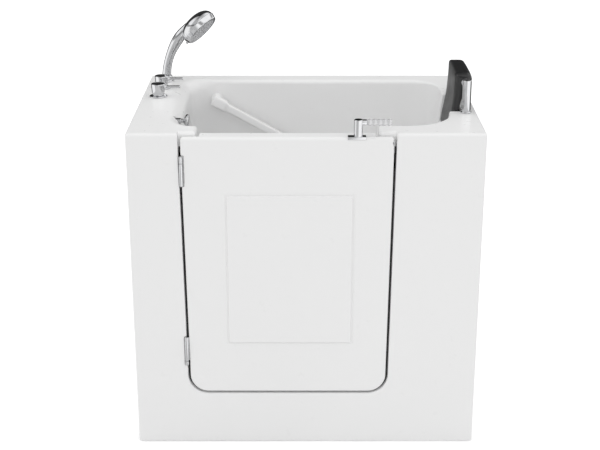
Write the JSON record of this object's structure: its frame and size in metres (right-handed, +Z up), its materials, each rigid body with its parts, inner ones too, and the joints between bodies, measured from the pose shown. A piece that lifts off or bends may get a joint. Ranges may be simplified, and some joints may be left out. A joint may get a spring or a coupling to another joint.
{
  "type": "walk-in bathtub with door",
  "caption": "Compact upright walk-in bathtub with an outward-opening door, latch lever, seat, footwell, tilting headrest, grab bar, taps and a hand shower.",
  "frame": {"origin": "middle of the tub's footprint on the floor", "axes": "+X along the tub from the taps to the headrest, -Y out through the door, +Z up"},
  "size_m": [0.9942, 0.693, 1.1809],
  "materials": {
    "acrylic": "glossy white",
    "frame_steel": "satin grey",
    "zinc": "zinc plated",
    "chrome": "polished",
    "brass": "turned",
    "seal_rubber": "matte",
    "foot_rubber": "matte",
    "pad_foam": "soft skin",
    "grip_plastic": "ribbed",
    "nozzle_plastic": "satin",
    "pipe_plastic": "satin white",
    "core_board": "foam board",
    "cable_sheath": "satin"
  },
  "bodies": {
    "tub": {"tub_shell": "acrylic", "left_end_panel": "acrylic", "right_end_panel": "acrylic", "grab_bar": "acrylic", "base_frame": "frame_steel", "frame_uprights": "frame_steel", "floor_supports": "frame_steel", "seat_supports": "frame_steel", "panel_screws": "zinc", "levelling_studs": "zinc", "lock_nuts": "zinc", "grab_bar_screws": "zinc", "frame_leaf_screws": "zinc", "headrest_rod": "zinc", "upper_frame_leaf": "chrome", "lower_frame_leaf": "chrome", "upper_hinge_pin": "chrome", "lower_hinge_pin": "chrome", "latch_keeper": "chrome", "hot_escutcheon": "chrome", "cold_escutcheon": "chrome", "shower_dock": "chrome", "headrest_posts": "chrome", "headrest_base_rings": "chrome", "drain_flange": "chrome", "overflow_collar": "chrome", "hot_valve_body": "brass", "cold_valve_body": "brass", "valve_locknuts": "brass", "dock_locknut": "brass", "door_seal": "seal_rubber", "foot_pads": "foot_rubber", "drain_body": "pipe_plastic", "overflow_elbow": "pipe_plastic", "overflow_pipe": "pipe_plastic", "drain_cable": "cable_sheath"},
    "door": {"door_panel": "acrylic", "door_liner": "acrylic", "door_core": "core_board", "upper_door_leaf": "chrome", "lower_door_leaf": "chrome", "door_leaf_screws": "zinc", "latch_base": "chrome", "latch_faceplate": "chrome"},
    "latch_handle": {"latch_lever": "chrome", "latch_grip": "grip_plastic"},
    "bolt": {"latch_bolt": "zinc"},
    "hot_tap": {"hot_handle": "chrome", "hot_lever": "chrome"},
    "cold_tap": {"cold_handle": "chrome", "cold_lever": "chrome"},
    "hand_shower": {"shower_handle": "chrome", "nozzle_plate": "nozzle_plastic"},
    "spray_ring": {"shower_face_ring": "chrome"},
    "headrest": {"headrest_pad": "pad_foam", "headrest_hubs": "chrome"},
    "drain_control": {"drain_knob": "chrome"},
    "plug": {"drain_plug": "chrome"}
  },
  "joints": [
    {"name": "door_hinge", "type": "hinge", "parent": "tub", "child": "door", "pos_m": [-0.34517, -0.344, 0.5745], "axis": [0, 0, -1], "range_deg": [0, 120]},
    {"name": "latch_turn", "type": "hinge", "parent": "door", "child": "latch_handle", "pos_m": [0.143, -0.335, 0.984], "axis": [0, 0, -1], "range_deg": [0, 90]},
    {"name": "bolt_slide", "type": "slide", "parent": "door", "child": "bolt", "axis": [1, 0, 0], "range_m": [0, 0.016]},
    {"name": "hot_tap_turn", "type": "hinge", "parent": "tub", "child": "hot_tap", "pos_m": [-0.4455, 0.069, 0.975], "axis": [0, 0, -1], "range_deg": [0, 90]},
    {"name": "cold_tap_turn", "type": "hinge", "parent": "tub", "child": "cold_tap", "pos_m": [-0.4455, 0.172, 0.975], "axis": [0, 0, 1], "range_deg": [0, 90]},
    {"name": "shower_lift", "type": "slide", "parent": "tub", "child": "hand_shower", "axis": [0, 0, 1], "range_m": [0, 0.07]},
    {"name": "spray_turn", "type": "hinge", "parent": "hand_shower", "child": "spray_ring", "pos_m": [-0.3335, 0.267, 1.126], "axis": [-0.6937, 0.2924, 0.6583], "range_deg": [-25, 25]},
    {"name": "headrest_tilt", "type": "hinge", "parent": "tub", "child": "headrest", "pos_m": [0.4605, 0, 1.038], "axis": [0, 1, 0], "range_deg": [0, 25]},
    {"name": "drain_turn", "type": "hinge", "parent": "tub", "child": "drain_control", "pos_m": [-0.34, -0.142, 0.935], "axis": [1, 0, 0], "range_deg": [0, 90]},
    {"name": "plug_rise", "type": "slide", "parent": "tub", "child": "plug", "axis": [0, 0, 1], "range_m": [0, 0.008]}
  ],
  "couplings": [
    {"joint": "latch_turn", "follows": "bolt_slide", "rad_per_m": 98.175},
    {"joint": "drain_turn", "follows": "plug_rise", "rad_per_m": 196.35}
  ]
}
